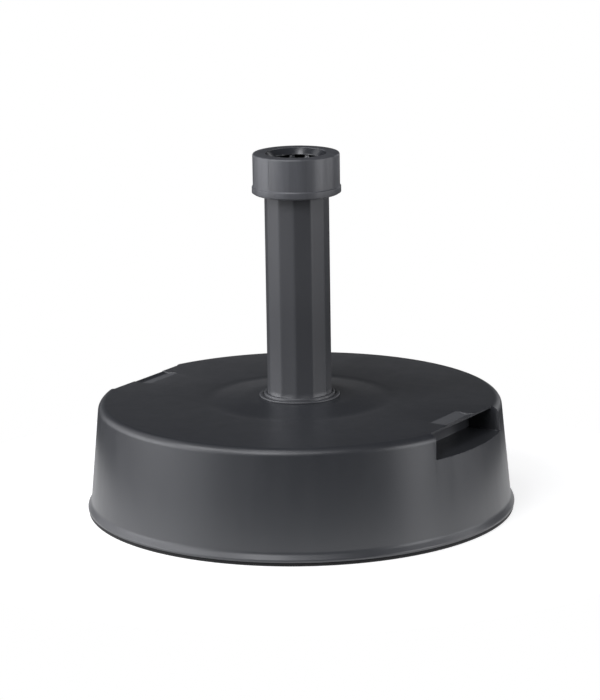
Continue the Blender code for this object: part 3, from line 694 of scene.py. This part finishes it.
def make_nut(material):
    """Clamp nut with its grip lip, mould line and internal thread."""
    lip = NUT_HIGH.x
    low, high = NUT_LOW.z, NUT_HIGH.z
    lip_top = low + 9.0 * MM
    ceiling = high - 4.0 * MM
    corners = [(NUT_MOUTH_R, high, 0.5 * MM), (NUT_R, high, 2.0 * MM), (NUT_R, lip_top, 0.5 * MM),
               (lip, lip_top - 1.2 * MM, 0.6 * MM), (lip, low + 1.6 * MM, 0.6 * MM),
               (lip - 2.6 * MM, low, 0.8 * MM), (NUT_BORE, low, 0.8 * MM), (NUT_BORE, ceiling, 0.5 * MM),
               (NUT_MOUTH_R, ceiling, 0.0)]
    nut = lathe("twist_nut", rounded(corners, steps=6), STEPS_SMALL)
    ridge = thread_ridge("ridge", NUT_BORE + 0.4 * MM, THREAD_CREST_R, low + 6.0 * MM)
    seam = block("seam", (NUT_R - 1.0 * MM, -SEAM_HALF, lip_top + 6.0 * MM),
                 (NUT_R + SEAM_RISE, SEAM_HALF, high - 2.5 * MM), SEAM_ANGLE)
    boolean(nut, ridge, "UNION")
    boolean(nut, seam, "UNION")
    smooth(freeze(nut, [ridge, seam]))
    return finish_piece(nut, "clamp_nut", material, ["clamp_nut"])


def make_collet(material):
    """Funnel ring of the collet with its flange and two keys."""
    top = COLLET_HIGH.z
    flange_r = COLLET_HIGH.x
    flange_top, flange_low = top - 5.4 * MM, top - 8.9 * MM
    throat_top, throat_low = top - 5.8 * MM, top - 6.6 * MM
    corners = [(FUNNEL_R, top, 0.2 * MM), (FUNNEL_R, flange_top, 0.0), (flange_r, flange_top, 0.4 * MM),
               (flange_r, flange_low, 0.4 * MM), (COLLET_BORE, flange_low, 0.0),
               (COLLET_BORE, throat_low, 0.0), (FUNNEL_THROAT_R, throat_low, 0.3 * MM),
               (FUNNEL_THROAT_R, throat_top, 1.5 * MM), (FUNNEL_R - 0.5 * MM, top, 0.2 * MM)]
    ring = lathe("collet_funnel", rounded(corners, steps=6), STEPS_SMALL)
    keys = []
    for i, angle in enumerate(KEY_ANGLES):
        key = block("key_%d" % i, (KEY_IN, -KEY_HALF, COLLET_LOW.z),
                    (KEY_OUT, KEY_HALF, flange_low + 1.0 * MM), angle)
        boolean(ring, key, "UNION")
        keys.append(key)
    smooth(freeze(ring, keys))
    return finish_piece(ring, "collet", material, ["collet_ring"])


def finger_outline(low, high):
    """(radius, height) outline of a collet finger between two heights."""
    outline = [(FINGER_IN + 0.5 * MM, low, 0.4 * MM), (FINGER_IN, low + 1.5 * MM, 0.5 * MM)]
    for k in range(FINGER_TEETH):
        z = low + (3.0 + 2.0 * k) * MM
        outline += [(FINGER_IN + 0.5 * MM, z, 0.2 * MM), (FINGER_IN, z + 1.0 * MM, 0.2 * MM)]
    shoulder = high - 4.0 * MM
    outline += [(FINGER_IN, shoulder, 1.0 * MM), (FINGER_IN + 1.2 * MM, high, 0.3 * MM),
                (FINGER_OUT - 1.2 * MM, high, 0.3 * MM), (FINGER_OUT, shoulder, 1.0 * MM),
                (FINGER_OUT, low + 2.0 * MM, 1.0 * MM), (FINGER_OUT - 0.8 * MM, low, 0.4 * MM)]
    return rounded(outline, steps=3)


def make_fingers(material):
    """The collet's fingers, with grip teeth inside and a thinner hinge end."""
    for i in range(FINGER_COUNT):
        label = "%02d" % (i + 1)
        node = "collet_finger_" + label
        angle = math.radians(FINGER_FIRST + 360.0 / FINGER_COUNT * i)
        low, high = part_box(node)
        finger = slab("grip_finger_" + label, finger_outline(low.z, high.z), FINGER_HALF, angle)
        bevel(finger, 0.35 * MM, 2, 60.0)
        smooth(freeze(finger))
        finish_piece(finger, "finger_" + label, material, [node])


def make_stop(material):
    """Cup at the foot of the pipe, on which the pole stands."""
    low, high = STOP_LOW.z, STOP_HIGH.z
    seat = low + 17.4 * MM
    pit = low + 7.5 * MM
    bolt_top = low + 10.9 * MM
    corners = [(0.0, seat, 0.0), (CUP_R, seat, 0.8 * MM), (CUP_R, high, 0.8 * MM),
               (STOP_HIGH.x, high, 0.8 * MM), (STOP_HIGH.x, low, 0.5 * MM), (BOLT_HEAD_R, low, 0.3 * MM),
               (BOLT_HEAD_R, pit, 0.0), (BOLT_HOLE_R, pit, 0.0), (BOLT_HOLE_R, bolt_top, 0.0),
               (0.0, bolt_top, 0.0)]
    cup = smooth(lathe("pole_cup", rounded(corners, steps=4), STEPS_SMALL))
    return finish_piece(cup, "base", material, ["pole_stop"])


def dress_cad_nodes(by_slot):
    """Give each CAD node that stays its detailed material."""
    slots = {part["node"]: part["material_slot"] for part in frame["record"]["subparts"]}
    for name, obj in frame["nodes"].items():
        material = by_slot[slots[name]]
        if not obj.material_slots:
            obj.data.materials.append(material)
        for slot in obj.material_slots:
            slot.material = material


# ------------------------------------------------------------ camera and light

CAMERA_AZIMUTH = 32.2            # degrees from looking along +Y
CAMERA_DISTANCE = 3.4128
CAMERA_HEIGHT = 0.9886
CAMERA_PITCH = 13.35             # degrees down
CAMERA_ROLL = 0.9                # degrees
CAMERA_SHIFT = 0.0014
CAMERA_LENS = 161.6              # in mm, on a 36 mm sensor

FLOOR_R = 0.46
FLOOR_GREY = 0.55
FLOOR_GLOW = 0.77
WORLD_DIM = 0.01
LIGHT_TARGET = Vector((0.0, 0.0, 0.15))
LIGHT_DISTANCE = 2.4
LIGHT_COLOR = (0.96, 0.965, 1.0)
LIGHTS = (                       # azimuth from the camera, elevation, width, height, watts
    ("left_rear", -125.0, 12.0, 0.9, 1.3, 5.2),
    ("left_wide", -100.0, 12.0, 0.9, 1.3, 10.6),
    ("left_main", -80.0, 12.0, 0.9, 1.3, 12.5),
    ("left_near", -60.0, 12.0, 0.9, 1.3, 7.6),
    ("left_front", -40.0, 12.0, 0.9, 1.3, 1.6),
    ("right_side", 64.0, 12.0, 0.6, 1.3, 14.5),
    ("right_rear", 97.0, 12.0, 0.9, 1.3, 9.6),
    ("rear_right", 145.0, 12.0, 0.9, 1.3, 2.8),
    ("high_rear", -120.0, 42.0, 0.9, 0.9, 2.5),
    ("high_left", -68.0, 42.0, 0.9, 0.9, 14.0),
    ("high_front", -25.0, 42.0, 0.9, 0.9, 15.5),
    ("high_right", 8.0, 48.0, 0.6, 0.6, 4.5),
    ("overhead", -36.0, 70.0, 0.55, 0.55, 6.5),
    ("back_low", 180.0, 4.0, 3.0, 0.35, 1.7),
)


def make_camera():
    """Long lens from slightly above, leaning a little to one side."""
    data = bpy.data.cameras.new("camera")
    data.lens = CAMERA_LENS
    data.sensor_width = 36.0
    data.sensor_fit = "AUTO"
    data.shift_x = CAMERA_SHIFT
    data.clip_end = 50.0
    camera = bpy.data.objects.new("camera", data)
    bpy.context.scene.collection.objects.link(camera)
    turn = Matrix.Rotation(math.radians(CAMERA_AZIMUTH), 4, "Z")
    place = Matrix.Translation((0.0, -CAMERA_DISTANCE, CAMERA_HEIGHT))
    tilt = Matrix.Rotation(math.radians(90.0 - CAMERA_PITCH), 4, "X")
    roll = Matrix.Rotation(math.radians(-CAMERA_ROLL), 4, "Z")
    camera.matrix_world = turn @ place @ tilt @ roll
    bpy.context.scene.camera = camera


def softbox(name, azimuth, elevation, width, height, power):
    """Area light at an azimuth from the camera's side, positive to the right."""
    data = bpy.data.lights.new(name, "AREA")
    data.shape = "RECTANGLE"
    data.size = width
    data.size_y = height
    data.energy = power
    data.color = LIGHT_COLOR
    light = bpy.data.objects.new(name, data)
    bpy.context.scene.collection.objects.link(light)
    angle = math.radians(-90.0 + CAMERA_AZIMUTH + azimuth)
    rise = math.radians(elevation)
    away = Vector((math.cos(angle) * math.cos(rise), math.sin(angle) * math.cos(rise), math.sin(rise)))
    light.location = LIGHT_TARGET + away * LIGHT_DISTANCE
    light.rotation_euler = away.to_track_quat("Z", "Y").to_euler()
    light.visible_camera = False


def make_world():
    """White behind the object; only a dim grey for the light it gives."""
    world = bpy.data.worlds.new("studio")
    bpy.context.scene.world = world
    world.use_nodes = True
    tree = world.node_tree
    background = tree.nodes["Background"]
    background.inputs["Color"].default_value = (1.0, 1.0, 1.0, 1.0)
    dim = tree.nodes.new("ShaderNodeBackground")
    dim.inputs["Color"].default_value = (1.0, 1.0, 1.0, 1.0)
    dim.inputs["Strength"].default_value = WORLD_DIM
    path = tree.nodes.new("ShaderNodeLightPath")
    mix = tree.nodes.new("ShaderNodeMixShader")
    tree.links.new(path.outputs["Is Camera Ray"], mix.inputs[0])
    tree.links.new(dim.outputs[0], mix.inputs[1])
    tree.links.new(background.outputs[0], mix.inputs[2])
    tree.links.new(mix.outputs[0], tree.nodes["World Output"].inputs["Surface"])


def make_floor():
    """Plain pale disc of floor that glows faintly, so that it reads as white."""
    bm = bmesh.new()
    bmesh.ops.create_circle(bm, cap_ends=True, segments=96, radius=FLOOR_R)
    floor = new_object("floor", bm)
    n = Nodes("floor_pale")
    n.shader.inputs["Base Color"].default_value = (FLOOR_GREY, FLOOR_GREY, FLOOR_GREY, 1.0)
    n.shader.inputs["Roughness"].default_value = 0.9
    n.shader.inputs["Specular IOR Level"].default_value = 0.0
    n.shader.inputs["Emission Color"].default_value = (1.0, 1.0, 1.0, 1.0)
    n.shader.inputs["Emission Strength"].default_value = FLOOR_GLOW
    floor.data.materials.append(n.material)


# ----------------------------------------------------------------------- build

CHARCOAL = (0.033, 0.035, 0.040)
# paler grey of the thumb scoops, a painted highlight
SCOOP_HIGHLIGHT_GREY = (0.100, 0.103, 0.110)
PIPE_GREY = (0.062, 0.064, 0.070)
NUT_GREY = (0.092, 0.095, 0.104)
BLACK = (0.007, 0.007, 0.008)

# scoops=True paints a paler highlight on the drum's thumb scoops
shell_plastic = moulded_plastic("shell_satin", CHARCOAL, 0.38, 0.3, streak=(1.0, 1.0, 0.25),
                                scoops=True)
pipe_plastic = moulded_plastic("pipe_satin", PIPE_GREY, 0.42, 0.2, streak=(1.0, 1.0, 0.1))
# the nut's tall, strongly toned colour streaks are painted reflections of the studio lights
nut_plastic = moulded_plastic("nut_satin", NUT_GREY, 0.4, 0.2, streak=(8.0, 8.0, 0.3), tone=0.2)
tray_plastic = moulded_plastic("tray_black", BLACK, 0.6, 0.4, specular=0.25)
collet_plastic = moulded_plastic("collet_black", CHARCOAL, 0.24, 0.05)
materials = {
    "shell_plastic": shell_plastic,
    "pipe_plastic": pipe_plastic,
    "nut_plastic": nut_plastic,
    "tray_plastic": tray_plastic,
    "collet_plastic": collet_plastic,
    "foot_rubber": foot_rubber("rubber_black"),
    "cast_concrete": cast_concrete("concrete_grey"),
    "zinc_steel": zinc_steel("zinc"),
}

dress_cad_nodes(materials)
make_shell(shell_plastic)
make_tray(tray_plastic)
make_ring(pipe_plastic)
make_pipe(pipe_plastic)
make_nut(nut_plastic)
make_collet(collet_plastic)
make_fingers(collet_plastic)
make_stop(tray_plastic)

make_camera()
make_world()
make_floor()
for light in LIGHTS:
    softbox(*light)
bpy.context.scene.view_settings.view_transform = "Standard"
